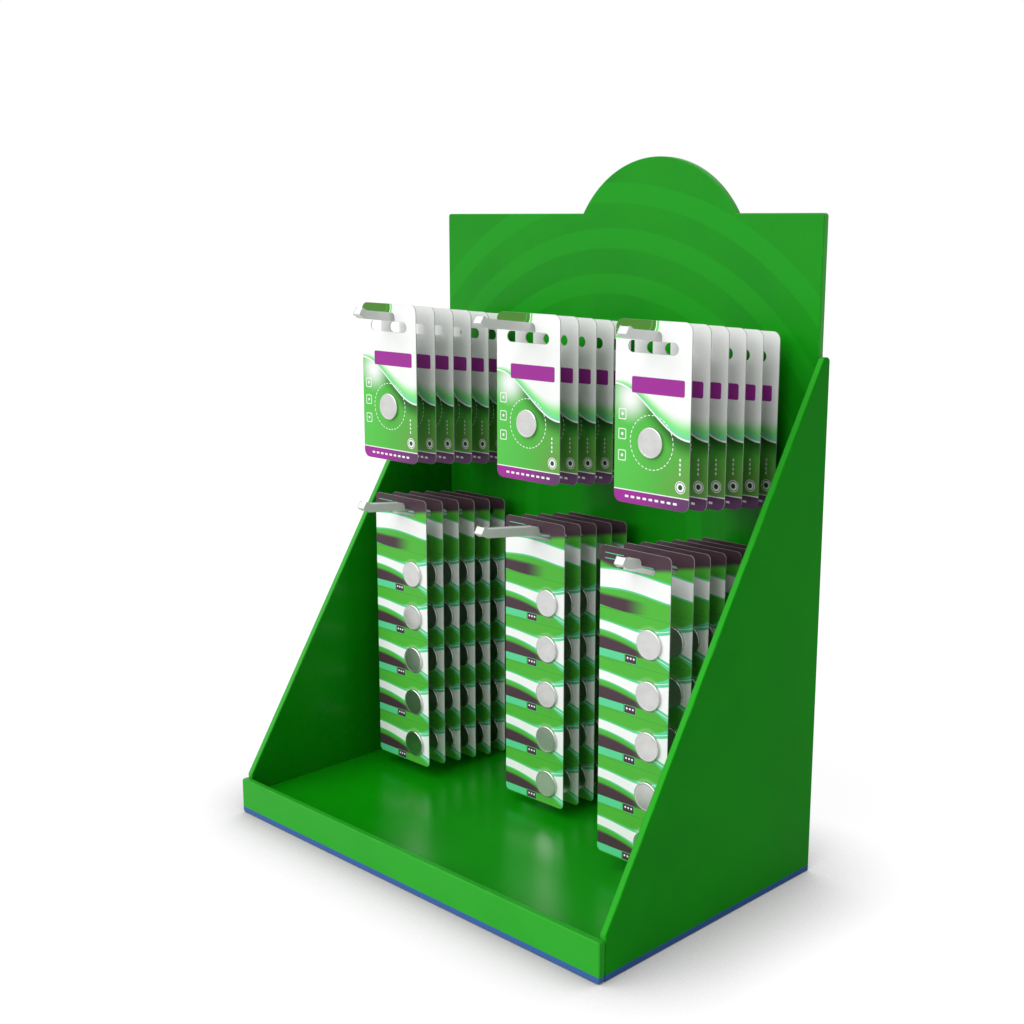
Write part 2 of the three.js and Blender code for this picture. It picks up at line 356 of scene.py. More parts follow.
def turned_points(ring, sharp=math.radians(35)):
    """Each point with its outward normal and mitre; a sharp corner is given twice."""
    listed = []
    for index, here in enumerate(ring):
        into = (here - ring[index - 1]).normalized()
        onward = (ring[(index + 1) % len(ring)] - here).normalized()
        before, after = Vector((into.y, -into.x)), Vector((onward.y, -onward.x))
        middle = (before + after).normalized()
        mitre = middle / max(middle.dot(before), 0.3)
        if before.angle(after) > sharp:
            listed += [(here, before, mitre), (here, after, mitre)]
        else:
            listed.append((here, middle, mitre))
    return listed


def sheet_data(rings, thickness, edge, arcs=4):
    """Points, faces and normals of a sheet drawn flat, its first ring the outline."""
    levels = []
    for step in range(arcs + 1):
        angle = math.radians(90) * (step / arcs - 1)
        levels.append((edge * (1 - math.cos(angle)), edge * (1 + math.sin(angle)), angle))
    levels += [(inset, thickness - height, -angle) for inset, height, angle in reversed(levels)]
    points, faces, normals, loops, marks = [], [], [], [], []
    for ring in rings:
        listed = turned_points(ring)
        first, count = len(points), len(listed)
        for inset, height, angle in levels:
            for here, normal, mitre in listed:
                place = here - mitre * inset
                points.append(Vector((place.x, place.y, height)))
                flat = normal * math.cos(angle)
                normals.append(Vector((flat.x, flat.y, math.sin(angle))))
        for level in range(len(levels) - 1):
            low = first + level * count
            high = low + count
            for index in range(count):
                after = (index + 1) % count
                if (listed[index][0] - listed[after][0]).length > SAME_PLACE:
                    faces.append((low + index, low + after, high + after, high + index))
        kept = [i for i in range(count) if (listed[i][0] - listed[i - 1][0]).length > SAME_PLACE]
        marks += [(first + i, first + (len(levels) - 1) * count + i) for i in kept]
        loops.append([points[first + i] for i in kept])
    for a, b, c in geometry.tessellate_polygon(loops):
        lower = [marks[a][0], marks[b][0], marks[c][0]]
        upper = [marks[a][1], marks[b][1], marks[c][1]]
        p, q, r = (points[i] for i in lower)
        up = (q - p).cross(r - p).z > 0
        faces.append(tuple(reversed(lower)) if up else tuple(lower))
        faces.append(tuple(upper) if up else tuple(reversed(upper)))
    return points, faces, normals


trial = sheet_data([box_outline(0, 0, 10, 10, 1)], 2, 0.5)
print("trial sheet:", len(trial[0]), "points,", len(trial[1]), "faces")

# %% [markdown]
# ## Standing a piece up
# A sheet is drawn lying flat. One of three stances stands it up, and the finished piece
# rides on the object's one body and takes the place of its solid.

# %% Standing a piece up
FACE_FRONT = Matrix(((1, 0, 0, 0), (0, 0, -1, 0), (0, 1, 0, 0), (0, 0, 0, 1)))
FACE_SIDE = Matrix(((0, 0, 1, 0), (1, 0, 0, 0), (0, 1, 0, 0), (0, 0, 0, 1)))
LIE_FLAT = Matrix.Identity(4)


def placed(data, stance, shift=(0, 0, 0)):
    """Drawn data in millimetres, stood up and moved, as data in metres."""
    points, faces, normals = data
    spin = stance.to_3x3()
    moved = [(spin @ point + Vector(shift)) * MM for point in points]
    return moved, faces, [spin @ normal for normal in normals]


def mesh_from(name, parts, material):
    points, faces, normals = [], [], []
    for part_points, part_faces, part_normals in parts:
        first = len(points)
        points += part_points
        normals += part_normals
        faces += [tuple(first + i for i in face) for face in part_faces]
    mesh = bpy.data.meshes.new(name)
    mesh.from_pydata(points, [], faces)
    mesh.polygons.foreach_set("use_smooth", [True] * len(mesh.polygons))
    mesh.normals_split_custom_set_from_vertices(normals)
    mesh.materials.append(material)
    return mesh


def stand(name, mesh, replaced=None, place=(0, 0, 0)):
    piece = bpy.data.objects.new(name, mesh)
    piece.location = place
    scene.collection.objects.link(piece)
    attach(piece, "root")
    if replaced:
        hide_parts(replaced)
    return piece


def drawn_box(node):
    """The low and high corner of a solid, in millimetres."""
    low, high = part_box(node)
    return low / MM, high / MM


print("lip reaches from", [round(v, 1) for v in drawn_box("front_lip")[0]])

# %% [markdown]
# ## Surface helpers
# Each finish starts from a point on its own sheet, measured in millimetres, and ends in
# one shader with a fine bump. Paper grain goes into every printed finish.


# %% Surface helpers
def surface_start(name):
    material = bpy.data.materials.new(name)
    material.use_nodes = True
    tree = material.node_tree
    place = add(tree, "ShaderNodeTexCoord")
    point = move(tree, "MULTIPLY", place.outputs["Object"], (1 / MM, 1 / MM, 1 / MM))
    return material, tree, tree.nodes["Principled BSDF"], point, place.outputs["Normal"]


def surface_end(tree, shader, colour, roughness, height, depth, strength, **constants):
    bump = add(tree, "ShaderNodeBump", {"Strength": strength, "Distance": depth, "Height": height})
    tree.links.new(colour, shader.inputs["Base Color"])
    tree.links.new(roughness, shader.inputs["Roughness"])
    tree.links.new(bump.outputs["Normal"], shader.inputs["Normal"])
    for label, value in constants.items():
        shader.inputs[label.replace("_", " ")].default_value = value


def grained(tree, point, fine, broad):
    """The tone and the height of the paper grain, at a fine and a broad scale."""
    inputs = {"Point": point, "Fine": fine, "Broad": broad}
    grain = add(tree, "ShaderNodeGroup", inputs, node_tree=grain_group).outputs
    return grain["Tone"], grain["Height"]


def between(tree, value, low, high, soft=0.05):
    return mask(tree, band_group, {"Value": value, "Low": low, "High": high, "Soft": soft})


print("surface helpers measure in units of", MM, "m")

# %% [markdown]
# ## Green board
# The panels are rigid board under a printed and film-laminated sheet in bright green.
# The film is satin: it shows soft highlights and hides most of the board's grain. The
# header carries wide tone-on-tone rings, and the walls end in a thin blue foot band.
# All boards are one green, but each gets its own lighter or darker pair of inks: painted light and
# shade for how the lamp falls on that board.

# %% Green inks
# Lighter and darker copies of one green, one pair per board: painted light and shade.
BOARD_SHADED_INKS = {
    "lip": ((0.018, 0.330, 0.016, 1), (0.022, 0.360, 0.019, 1)),
    "side": ((0.003, 0.238, 0.003, 1), (0.004, 0.270, 0.003, 1)),
    "deck": ((0.003, 0.270, 0.002, 1), (0.003, 0.298, 0.002, 1)),
    "header": ((0.004, 0.252, 0.004, 1), (0.005, 0.280, 0.004, 1)),
}
# The lip's short ends get this deeper green as painted shade.
GREEN_END = (0.004, 0.300, 0.004, 1)
GREEN_RING = (0.006, 0.305, 0.006, 1)
# A paler green for the turned edges of side and header boards: a painted highlight.
EDGE_HIGHLIGHT_GREEN = (0.026, 0.365, 0.021, 1)
GREEN_RUBBED = (0.060, 0.520, 0.055, 1)
RUBBED_SHARE = 0.22
FOOT_BLUE = ink(56, 92, 152)
FOOT_HEIGHT = 4.6
RING_CENTRE = (-2.0, 0.0, 224.5)
RING_PERIOD = 32.8
RING_WIDTH = 14.5
RING_OUTER = 253.4
RING_COUNT = 6


def ringed(tree, colour, point, normal):
    flat = move(tree, "MULTIPLY", point, (1, 0, 1))
    reach = move(tree, "LENGTH", move(tree, "SUBTRACT", flat, RING_CENTRE))
    on_front = calc(tree, "LESS_THAN", axes(tree, normal)[1], -0.9)
    for index in range(RING_COUNT):
        outer = RING_OUTER - index * RING_PERIOD
        band = between(tree, reach, outer - RING_WIDTH, outer, 0.5)
        colour = mix(tree, times(tree, band, on_front), colour, GREEN_RING)
    return colour


print("rings every", RING_PERIOD, "mm, foot band", FOOT_HEIGHT, "mm high")

# %% [markdown]
# One function makes the finish of every green board. The side and header boards get a
# paler green on their turned edges as a painted highlight, and the lip's short ends get a
# deeper green as painted shade from the walls.


# %% Green boards
def board_finish(name, axis, specular, shaded_copy, rings=False, foot=False, matt=0.30):
    material, tree, shader, point, normal = surface_start(name)
    tone, fibres = grained(tree, point, 1.6, 0.018)
    colour = mix(tree, rise(tree, tone, 0.35, 0.65), *BOARD_SHADED_INKS[shaded_copy])
    if rings:
        colour = ringed(tree, colour, point, normal)
    # Painted highlight: a paler green where a side or header board turns away from its face.
    if shaded_copy in ("side", "header"):
        facing = calc(tree, "ABSOLUTE", move(tree, "DOT_PRODUCT", normal, axis))
        colour = mix(tree, flip(tree, rise(tree, facing, 0.10, 0.55)), colour, EDGE_HIGHLIGHT_GREEN)
    # Painted shade: a deeper green on the lip's short ends.
    if shaded_copy == "lip":
        on_end = calc(tree, "GREATER_THAN", calc(tree, "ABSOLUTE", axes(tree, normal)[0]), 0.8)
        colour = mix(tree, on_end, colour, GREEN_END)
    if foot:
        low = between(tree, axes(tree, point)[2], -9.0, FOOT_HEIGHT, 0.15)
        colour = mix(tree, low, colour, FOOT_BLUE)
    rubbed = mask(tree, edge_group, {"Normal": normal, "Axis": axis, "Point": point})
    colour = mix(tree, times(tree, rubbed, RUBBED_SHARE), colour, GREEN_RUBBED)
    roughness = calc(tree, "MULTIPLY_ADD", tone, 0.12, matt)
    surface_end(tree, shader, colour, roughness, fibres, 0.00006, 0.5,
                Specular_IOR_Level=specular)
    return material


ACROSS, TO_FRONT, UPWARD = (1, 0, 0), (0, 1, 0), (0, 0, 1)
side_finishes = {
    "left": board_finish("green_board_left", ACROSS, 0.18, "side", foot=True, matt=0.22),
    "right": board_finish("green_board_right", ACROSS, 0.03, "side", foot=True),
}
lip_finish = board_finish("green_board_lip", TO_FRONT, 0.12, "lip", foot=True)
header_finish = board_finish("green_board_header", TO_FRONT, 0.18, "header", rings=True, foot=True)
deck_finish = board_finish("green_board_deck", UPWARD, 0.40, "deck", matt=0.18)
print("header finish nodes:", len(header_finish.node_tree.nodes))

# %% [markdown]
# ## Blue underside
# The base board inside the foot is plain mid blue, a matt print with a visible grain.

# %% Blue underside
BLUE = (0.045, 0.105, 0.330, 1)
BLUE_DEEP = (0.036, 0.085, 0.280, 1)
base_finish, tree, shader, point, normal = surface_start("blue_board")
tone, fibres = grained(tree, point, 1.2, 0.02)
colour = mix(tree, rise(tree, tone, 0.35, 0.65), BLUE_DEEP, BLUE)
roughness = calc(tree, "MULTIPLY_ADD", tone, 0.12, 0.45)
surface_end(tree, shader, colour, roughness, fibres, 0.00008, 0.5)
print("base finish:", base_finish.name)

# %% [markdown]
# ## Board sizes
# The outlines repeat the solid model, with finer arcs on the edges, where such board
# shows a bright line of light. The header ends in a round arch, off-centre to the right.

# %% Board sizes
BOARD = 5.4
EDGE = 1.2
BOARD_CORNER = 2.2
SIDE_BACK_HEIGHT = 362.8
SIDE_TOP_FLAT = 6.4
SIDE_TOP_ROUND = 3.0
SIDE_FRONT_HEIGHT = 30.0
BACK_HEIGHT = 455.7
ARCH_HALF = 70.2
ARCH_RISE = 39.5
ARCH_OFFSET = 39.0
ARCH_STEPS = 72


def arch():
    radius = (ARCH_HALF ** 2 + ARCH_RISE ** 2) / (2 * ARCH_RISE)
    centre = BACK_HEIGHT + ARCH_RISE - radius
    foot = math.asin((BACK_HEIGHT - centre) / radius)
    points = []
    for step in range(ARCH_STEPS + 1):
        angle = foot + (math.pi - 2 * foot) * step / ARCH_STEPS
        across = ARCH_OFFSET + radius * math.cos(angle)
        points.append((across, centre + radius * math.sin(angle), 0))
    return points


print("arch points", ARCH_STEPS + 1)

# %% [markdown]
# ## Lip and sides
# The lip is glued across the front edges of the side panels. Each side panel slopes up
# from the lip to a short flat at the back.

# %% Lip and sides
low, high = drawn_box("front_lip")
outline = box_outline(low.x, low.z, high.x, high.z, BOARD_CORNER)
lip = placed(sheet_data([outline], BOARD, EDGE), FACE_FRONT, (0, high.y, 0))
stand("lip_board", mesh_from("lip_board", [lip], lip_finish), "front_lip")

for side in ("left", "right"):
    node = f"{side}_side_panel"
    low, high = drawn_box(node)
    outline = rounded([
        (low.y, 0, 0), (high.y, 0, 0), (high.y, SIDE_BACK_HEIGHT, SIDE_TOP_ROUND),
        (high.y - SIDE_TOP_FLAT, SIDE_BACK_HEIGHT, SIDE_TOP_ROUND),
        (low.y, SIDE_FRONT_HEIGHT, BOARD_CORNER)])
    panel = placed(sheet_data([outline], BOARD, EDGE), FACE_SIDE, (low.x, 0, 0))
    panel_mesh = mesh_from(f"{side}_board", [panel], side_finishes[side])
    stand(f"{side}_board", panel_mesh, node)
    print(node, "slopes from", SIDE_FRONT_HEIGHT, "to", SIDE_BACK_HEIGHT, "mm")

# %% [markdown]
# ## Hook plastic
# The hooks are moulded in white plastic, a little warm in places, with a fine satin skin
# that lets some light in.

# %% Hook plastic
PLASTIC = (0.80, 0.82, 0.81, 1)
PLASTIC_WARM = (0.74, 0.75, 0.73, 1)

hook_finish, tree, shader, point, normal = surface_start("white_hook_plastic")
cloud = noise(tree, point, 0.05, 3.0)
fine = noise(tree, point, 3.0, 3.0)
colour = mix(tree, rise(tree, cloud, 0.3, 0.7), PLASTIC_WARM, PLASTIC)
roughness = calc(tree, "MULTIPLY_ADD", fine, 0.10, 0.34)
surface_end(tree, shader, colour, roughness, fine, 0.00003, 0.4, Subsurface_Weight=0.04,
            Subsurface_Scale=0.004)
print("hook finish:", hook_finish.name)

# %% [markdown]
# ## Hook shape
# Each hook is one moulding: a flat bar that rises to the front, a tip bent further up so
# that cards don't slide off, and a plate behind the back panel. All six share a mesh.

# %% Hook shape
HOOK_WIDTH = 7.6
HOOK_HEIGHT = 5.3
HOOK_RISE = math.radians(6.5)
HOOK_TIP = math.radians(25.5)
HOOK_TIP_LENGTH = 6.6
HOOK_TIP_SHORT = 1.8
HOOK_BEND_STEPS = 6
HOOK_EDGE = 0.5
PLATE_WIDTH = 24.0
PLATE_HEIGHT = 30.0
PLATE_THICKNESS = 2.0
PLATE_ROUND = 4.0
PLATE_GAP = 0.3
panel_low, panel_high = drawn_box("back_panel")
tip_front = panel_low.y - drawn_box("hook_low_right")[0].y


def bent_bar():
    """Side outline of the bar, drawn from the panel's front face at zero height."""
    bend = HOOK_RISE + HOOK_TIP
    along = Vector((-math.cos(HOOK_RISE), math.sin(HOOK_RISE)))
    up = Vector((math.sin(HOOK_RISE), math.cos(HOOK_RISE)))
    tip_along = Vector((-math.cos(bend), math.sin(bend)))
    tip_up = Vector((math.sin(bend), math.cos(bend)))
    mitre = HOOK_HEIGHT * math.tan(HOOK_TIP / 2)
    tip_reach = (HOOK_TIP_LENGTH - mitre / 2) * math.cos(bend) + tip_up.x * HOOK_HEIGHT
    reach = tip_front - tip_reach
    bend_top = along * (reach / math.cos(HOOK_RISE))
    end_top = bend_top + tip_along * (HOOK_TIP_LENGTH - HOOK_TIP_SHORT - mitre / 2)
    end_under = end_top - tip_up * HOOK_HEIGHT
    bend_under = bend_top - up * HOOK_HEIGHT + along * mitre
    rear = along * (-(BOARD + PLATE_GAP + PLATE_THICKNESS / 2) / math.cos(HOOK_RISE))
    rear_under = rear - up * HOOK_HEIGHT
    corners = [(rear_under, 0), (rear, 0), (bend_top, 2.0),
               (end_top, 0.4), (end_under, 0.4), (bend_under, 3.0)]
    return rounded([(p.x, p.y, radius) for p, radius in reversed(corners)], HOOK_BEND_STEPS)


bar_sheet = sheet_data([bent_bar()], HOOK_WIDTH, HOOK_EDGE)
bar = placed(bar_sheet, FACE_SIDE, (-HOOK_WIDTH / 2, 0, 0))
half_wide, half_high = PLATE_WIDTH / 2, PLATE_HEIGHT / 2
plate_outline = box_outline(-half_wide, -half_high, half_wide, half_high, PLATE_ROUND)
plate_back = BOARD + PLATE_GAP + PLATE_THICKNESS
plate_sheet = sheet_data([plate_outline], PLATE_THICKNESS, HOOK_EDGE)
plate = placed(plate_sheet, FACE_FRONT, (0, plate_back, -HOOK_HEIGHT / 2))
hook_mesh = mesh_from("hook_moulding", [bar, plate], hook_finish)
print("hook reaches", round(tip_front, 1), "mm in front of the panel")

# %% [markdown]
# ## Hooks and header
# The six hooks stand in two rows. Each passes through a slot in the header board, with a
# little play around the bar, so the header is cut once the hooks' places are known.

# %% Hooks and header
SLOT_PLAY = 0.6
HEADER_EDGE = 0.9
hook_nodes = [name for name in sorted(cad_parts) if name.startswith("hook_")]
drop = math.tan(HOOK_RISE) * BOARD
bar_height = HOOK_HEIGHT / math.cos(HOOK_RISE)
wide = HOOK_WIDTH / 2 + SLOT_PLAY
slots = []
for node in hook_nodes:
    low, high = drawn_box(node)
    middle = (low.x + high.x) / 2
    root = low.z + PLATE_HEIGHT / 2 + HOOK_HEIGHT / 2
    place = Vector((middle, panel_low.y, root)) * MM
    stand(node.replace("hook", "moulding"), hook_mesh, node, place)
    top = root + SLOT_PLAY
    bottom = root - bar_height - drop - SLOT_PLAY
    slots.append([Vector((middle - wide, bottom)), Vector((middle - wide, top)),
                  Vector((middle + wide, top)), Vector((middle + wide, bottom))])

outline = rounded([(panel_low.x, 0, 0), (panel_high.x, 0, 0),
                   (panel_high.x, BACK_HEIGHT, BOARD_CORNER)]
                  + arch() + [(panel_low.x, BACK_HEIGHT, BOARD_CORNER)])
header_sheet = sheet_data([outline] + slots, BOARD, HEADER_EDGE)
header = placed(header_sheet, FACE_FRONT, (0, panel_high.y, 0))
header_mesh = mesh_from("header_board", [header], header_finish)
stand("header_board", header_mesh, "back_panel")
print("hooks:", len(hook_nodes), "slots in the header:", len(slots))

# %% [markdown]
# ## Deck and base
# Two plain boards lie inside the walls: the green deck that carries loose goods and the
# blue underside.

# %% Deck and base
for node, finish, slot_name in (("deck_panel", deck_finish, "green_board"),
                                ("base_panel", base_finish, "blue_board")):
    low, high = drawn_box(node)
    name = node.replace("panel", "board")
    outline = box_outline(low.x, low.y, high.x, high.y, 0.5, 2)
    tray = placed(sheet_data([outline], high.z - low.z, 0.4), LIE_FLAT, (0, 0, low.z))
    stand(name, mesh_from(name, [tray], finish), node)
    print(node, "top at", round(high.z, 1), "mm")

# %% [markdown]
# ## Card stock
# Both card types are die-cut from coated card: a rounded outline and a wide hang slot
# with a raised middle that sits on the hook. The front is printed, the back is grey card.

# %% Card stock
CARDS = {
    "card": {"width": 62, "height": 119.1, "round": 5.6, "head": 6.7, "bump_play": 3.3,
             "bump": 6.4, "opening": 8.9, "slot": 41, "coin_across": 0.5, "low_coin": 41.5,
             "coins": 1, "pitch": 0},
    "strip": {"width": 59.2, "height": 214.1, "round": 3.6, "head": 4.8, "bump_play": 1.3,
              "bump": 4.1, "opening": 3.9, "slot": 33, "coin_across": 0.73, "low_coin": 16.5,
              "coins": 5, "pitch": 34.5},
}
CARD_THICKNESS = 0.7
CARD_EDGE = 0.12


def hang_hole(card):
    roof = card["height"] - card["head"]
    shoulder = roof - card["bump"]
    floor_height = roof - HOOK_HEIGHT - card["opening"]
    end = (shoulder - floor_height) / 2 * 0.999
    bump = HOOK_WIDTH / 2 + card["bump_play"]
    wide = card["slot"] / 2
    corners = [(-wide, floor_height, end), (wide, floor_height, end), (wide, shoulder, end),
               (bump, shoulder, 0.6), (bump, roof, bump / 2), (-bump, roof, bump / 2),
               (-bump, shoulder, 0.6), (-wide, shoulder, end)]
    return list(reversed(rounded(corners)))


def card_mesh(name, card, finish):
    wide = card["width"] / 2
    outline = box_outline(-wide, 0, wide, card["height"], card["round"])
    sheet = placed(sheet_data([outline, hang_hole(card)], CARD_THICKNESS, CARD_EDGE, 2), FACE_FRONT)
    return mesh_from(name, [sheet], finish)


print("card types:", {name: (card["width"], card["height"]) for name, card in CARDS.items()})

# %% [markdown]
# ## Print helpers
# Print is laid down in layers, as inks are on card. These helpers place a block, a disc,
# a ring or a soft round fade on the sheet, and close a print with its satin surface and
# the bare grey of the back.

# %% Print helpers
WHITE = (0.90, 0.91, 0.90, 1)
BACK_GREY = (0.44, 0.45, 0.43, 1)
TONE_LOW = (0.955, 0.955, 0.955, 1)


def block(tree, point, centre, half, corner_radius=0.0, soft=0.06):
    inputs = {"Point": point, "Centre": (centre[0], 0, centre[1]),
              "Half": (half[0], 0, half[1]), "Corner": corner_radius, "Soft": soft}
    return mask(tree, block_group, inputs)


def disc(tree, point, centre, radius, soft=0.06):
    inputs = {"Point": point, "Centre": (centre[0], 0, centre[1]), "Radius": radius, "Soft": soft}
    return mask(tree, disc_group, inputs)


def ring(tree, point, centre, radius, width, soft=0.06):
    outer = disc(tree, point, centre, radius + width / 2, soft)
    inner = disc(tree, point, centre, radius - width / 2, soft)
    return calc(tree, "SUBTRACT", outer, inner)


def fade(tree, point, centre, inner, outer):
    """1 up to the inner distance from a place, and 0 from the outer distance on."""
    away = move(tree, "SUBTRACT", point, (centre[0], 0, centre[1]))
    return flip(tree, rise(tree, move(tree, "LENGTH", away), inner, outer))


def print_start(name, card):
    material, tree, shader, point, normal = surface_start(name)
    flat = move(tree, "MULTIPLY", point, (1, 0, 1))
    across, _, up = axes(tree, flat)
    share = calc(tree, "DIVIDE", calc(tree, "ADD", across, card["width"] / 2), card["width"])
    on_front = calc(tree, "LESS_THAN", axes(tree, normal)[1], -0.7)
    return material, tree, shader, point, flat, across, up, share, on_front


def print_end(tree, shader, point, colour, on_front):
    tone, fibres = grained(tree, point, 2.4, 0.05)
    shade = mix(tree, rise(tree, tone, 0.3, 0.7), TONE_LOW, PURE_WHITE)
    inputs = {0: 1.0, 6: mix(tree, on_front, BACK_GREY, colour), 7: shade}
    toned = add(tree, "ShaderNodeMix", inputs, data_type="RGBA", blend_type="MULTIPLY")
    back_roughness = calc(tree, "MULTIPLY_ADD", tone, 0.10, 0.46)
    roughness = calc(tree, "MULTIPLY_ADD", on_front, -0.16, back_roughness)
    surface_end(tree, shader, toned.outputs[2], roughness, fibres, 0.00004, 0.4,
                Specular_IOR_Level=0.2)


print("back of the cards reads", BACK_GREY[:3])

# %% [markdown]
# ## Ground of the single-cell card
# The card's print keeps the pack's colours and rough layout. The head is white, with a
# soft green sweep and an olive tab at the top left. Below a wavy edge lies a green field,
# which glows at the left and darkens under the edge.

# %% Ground of the single-cell card
PURPLE = ink(158, 46, 150)
PURPLE_DULL = ink(96, 58, 100)
FIELD = ink(82, 178, 66)
FIELD_MINT = ink(88, 194, 78)
FIELD_OLIVE = ink(104, 158, 74)
FIELD_DARK = ink(28, 84, 24)
MINT = ink(92, 212, 152)
BRIGHT = ink(104, 226, 100)
OLIVE = ink(72, 128, 44)
EDGE_MIDDLE = 61.0
EDGE_SWING = 16.0
TAB_PLACE, TAB_HALF, TAB_CORNER = (-19.0, 118.0), (21.0, 9.0), 8.0
TAB_LAYERS = ((2.4, BRIGHT), (0.7, WHITE), (0.0, OLIVE), (-3.0, FIELD), (-3.6, OLIVE))
GLOW_PLACE = (-18.0, 69.0)

card = CARDS["card"]
cell_place = (0, card["low_coin"])
card_finish, tree, shader, point, flat, across, up, share, on_front = print_start(
    "single_card_print", card)
swing = calc(tree, "COSINE", calc(tree, "MULTIPLY", share, math.pi))
over = calc(tree, "SUBTRACT", up, calc(tree, "MULTIPLY_ADD", swing, EDGE_SWING, EDGE_MIDDLE))

sweep_end = calc(tree, "MULTIPLY_ADD", share, 14.0, 3.0)
sweep_start = calc(tree, "MULTIPLY", sweep_end, 0.3)
sweep = times(tree, rise(tree, over, 0.9, 1.1), flip(tree, rise(tree, over, sweep_start, sweep_end)))
sweep_turn = calc(tree, "MULTIPLY", sweep_end, 0.45)
sweep_ink = mix(tree, rise(tree, over, 1.0, sweep_turn), MINT, BRIGHT)
colour = mix(tree, times(tree, sweep, 0.9), WHITE, sweep_ink)
for margin, tint in TAB_LAYERS:
    tab_half = (TAB_HALF[0] + margin, TAB_HALF[1] + margin)
    tab = block(tree, flat, TAB_PLACE, tab_half, TAB_CORNER + margin, 0.1)
    colour = mix(tree, tab, colour, tint)

ground = mix(tree, rise(tree, share, 0.0, 0.75), FIELD_MINT, FIELD)
low_right = times(tree, rise(tree, share, 0.45, 1.0), flip(tree, rise(tree, up, 12.0, 48.0)))
ground = mix(tree, low_right, ground, FIELD_OLIVE)
shade = times(tree, rise(tree, over, -13.0, 0.0), rise(tree, share, 0.15, 0.75))
ground = mix(tree, times(tree, shade, 0.92), ground, FIELD_DARK)
ground = mix(tree, fade(tree, flat, GLOW_PLACE, 0.0, 19.0), ground, WHITE)
ground = mix(tree, times(tree, fade(tree, flat, cell_place, 9.0, 17.0), 0.35), ground, FIELD)
colour = mix(tree, flip(tree, rise(tree, over, -0.06, 0.06)), colour, ground)
colour = mix(tree, between(tree, over, -0.05, 1.1), colour, WHITE)
print("card ground nodes:", len(tree.nodes))

# %% [markdown]
# ## Marks on the single-cell card
# On the ground stand a purple label block, a dashed ring around the cell, three outlined
# squares, a round badge, a column of short dashes, and a purple foot with nine blocks.

# %% Marks on the single-cell card
LABEL_PLACE, LABEL_HALF = (4.5, 77.8), (21.5, 5.3)
DASH_RADIUS = 17.6
DASH_COUNT = 34.0
SQUARE_ACROSS = -24.5
SQUARE_HEIGHTS = (58.0, 45.0, 31.0)
BADGE_PLACE = (24.0, 15.6)
BADGE_LAYERS = ((4.1, WHITE), (3.55, FIELD_DARK), (3.05, WHITE), (1.7, FIELD_DARK))
FOOT_BLOCKS = 9
FOOT_STEP = 5.0

colour = mix(tree, block(tree, flat, LABEL_PLACE, LABEL_HALF, 1.4), colour, PURPLE)
from_cell = axes(tree, move(tree, "SUBTRACT", flat, (cell_place[0], 0, cell_place[1])))
turn = calc(tree, "ARCTAN2", from_cell[2], from_cell[0])
wave = calc(tree, "SINE", calc(tree, "MULTIPLY", turn, DASH_COUNT))
dashes = calc(tree, "GREATER_THAN", wave, -0.3)
dashed_ring = times(tree, ring(tree, flat, cell_place, DASH_RADIUS, 0.55), dashes)
colour = mix(tree, dashed_ring, colour, WHITE)
for height in SQUARE_HEIGHTS:
    place = (SQUARE_ACROSS, height)
    outer = block(tree, flat, place, (3.3, 3.6), 1.2)
    inner = block(tree, flat, place, (2.7, 3.0), 0.9)
    pip = disc(tree, flat, place, 1.0)
    square = calc(tree, "ADD", calc(tree, "SUBTRACT", outer, inner), pip)
    colour = mix(tree, square, colour, WHITE)
for radius, tint in BADGE_LAYERS:
    colour = mix(tree, disc(tree, flat, BADGE_PLACE, radius), colour, tint)
for height in range(24, 36, 3):
    dash = block(tree, flat, (23.5, height), (0.55, 0.9), 0.3)
    colour = mix(tree, dash, colour, WHITE)

foot_ink = mix(tree, rise(tree, share, 0.2, 1.0), PURPLE, PURPLE_DULL)
colour = mix(tree, flip(tree, rise(tree, up, 8.9, 9.1)), colour, WHITE)
colour = mix(tree, flip(tree, rise(tree, up, 8.2, 8.4)), colour, foot_ink)
for index in range(FOOT_BLOCKS):
    place = ((index - FOOT_BLOCKS // 2) * FOOT_STEP, 4.4)
    colour = mix(tree, block(tree, flat, place, (1.5, 0.75), 0.3), colour, WHITE)
print_end(tree, shader, point, colour, on_front)
print("card print nodes:", len(tree.nodes))

# %% [markdown]
# ## Cells of the five-cell strip
# The strip's print keeps the pack's colours and rough layout too. It repeats for each of
# its five cells: over green lie a plum leaf, a white wave with mint edges that widens to
# the right, a mint bar with a small plum block, and a dashed tear line between cells.

# %% Cells of the five-cell strip
PLUM = ink(72, 52, 62)
STRIP_GREEN = ink(80, 180, 58)
STRIP_MINT = ink(92, 210, 152)
TEAR = ink(34, 110, 34)
CELL_FOOT = -0.75
BAR_HEIGHT = 3.9
TAG_ACROSS = -2.4
TAG_LAYERS = (((5.0, 2.9), 0.3, STRIP_MINT), ((4.7, 2.6), 0.2, PLUM))

strip = CARDS["strip"]
strip_finish, tree, shader, point, flat, across, up, share, on_front = print_start(
    "five_cell_strip_print", strip)
in_cell = calc(tree, "FLOORED_MODULO", calc(tree, "SUBTRACT", up, CELL_FOOT), strip["pitch"])
cell_point = joined(tree, across, 0.0, in_cell)

leaf_edge = calc(tree, "MULTIPLY_ADD", times(tree, share, share), -14.0, 16.5)
leaf_start = calc(tree, "SUBTRACT", leaf_edge, 2.6)
leaf = times(tree, flip(tree, rise(tree, in_cell, leaf_start, leaf_edge)),
             flip(tree, rise(tree, share, 0.5, 0.8)), rise(tree, in_cell, 6.5, 6.7))
colour = mix(tree, leaf, STRIP_GREEN, PLUM)

